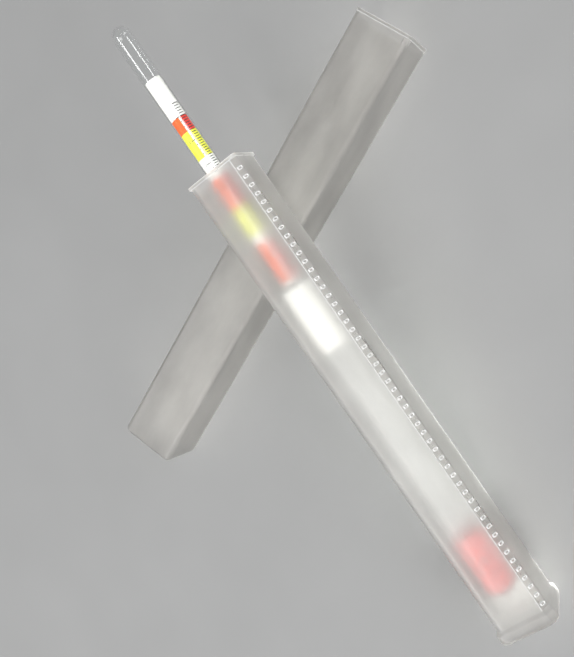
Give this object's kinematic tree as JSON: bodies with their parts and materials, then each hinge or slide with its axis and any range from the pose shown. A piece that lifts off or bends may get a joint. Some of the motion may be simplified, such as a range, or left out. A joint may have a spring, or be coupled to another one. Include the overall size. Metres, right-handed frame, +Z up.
{
  "type": "brewing hydrometer with case",
  "caption": "Glass sugar hydrometer with a coloured scale in its slim stem and a weighted bulb, in the open base of a square frosted telescopic case with its loose cap.",
  "frame": {"origin": "middle of the footprint of the whole set, on the surface it lies on", "axes": "+X along the case base from its foot to its raised mouth, in plan; +Z up; the cap lies across underneath, its mouth towards -Y"},
  "size_m": [0.254, 0.1748, 0.0495],
  "materials": {
    "frosted_case": "frosted translucent polypropylene",
    "clear_glass": "clear polished glass",
    "printed_paper": "matt printed paper",
    "glue": "dried glue",
    "sealing_wax": "red sealing wax",
    "ballast_steel": "dull steel shot"
  },
  "bodies": {
    "case_base": {"case_base": "frosted_case"},
    "hydrometer": {"ballast_pellet_01": "ballast_steel", "ballast_pellet_02": "ballast_steel", "ballast_pellet_03": "ballast_steel", "ballast_pellet_04": "ballast_steel", "ballast_pellet_05": "ballast_steel", "ballast_pellet_06": "ballast_steel", "ballast_pellet_07": "ballast_steel", "ballast_pellet_08": "ballast_steel", "ballast_pellet_09": "ballast_steel", "ballast_pellet_10": "ballast_steel", "ballast_pellet_11": "ballast_steel", "ballast_pellet_12": "ballast_steel", "ballast_pellet_13": "ballast_steel", "ballast_pellet_14": "ballast_steel", "ballast_pellet_15": "ballast_steel", "ballast_pellet_16": "ballast_steel", "ballast_pellet_17": "ballast_steel", "ballast_pellet_18": "ballast_steel", "ballast_pellet_19": "ballast_steel", "ballast_pellet_20": "ballast_steel", "ballast_pellet_21": "ballast_steel", "ballast_pellet_22": "ballast_steel", "ballast_pellet_23": "ballast_steel", "ballast_pellet_24": "ballast_steel", "ballast_pellet_25": "ballast_steel", "ballast_pellet_26": "ballast_steel", "ballast_pellet_27": "ballast_steel", "ballast_pellet_28": "ballast_steel", "ballast_pellet_29": "ballast_steel", "ballast_pellet_30": "ballast_steel", "ballast_pellet_31": "ballast_steel", "ballast_pellet_32": "ballast_steel", "ballast_pellet_33": "ballast_steel", "ballast_pellet_34": "ballast_steel", "ballast_pellet_35": "ballast_steel", "ballast_pellet_36": "ballast_steel", "ballast_pellet_37": "ballast_steel", "glass_body": "clear_glass", "glass_stem": "clear_glass", "label_glue_dot": "glue", "label_paper": "printed_paper", "scale_glue_dot": "glue", "scale_paper": "printed_paper", "wax_seal": "sealing_wax"},
    "case_cap": {"case_cap": "frosted_case"}
  },
  "joints": [
    {"name": "hydrometer_slide", "type": "slide", "parent": "case_base", "child": "hydrometer", "axis": [0.989, 0, 0.1477], "range_m": [0, 0.2]},
    {"name": "cap_slide", "type": "slide", "parent": "case_base", "child": "case_cap", "axis": [0.4067, -0.9135, 0], "range_m": [0, 0.14]}
  ]
}
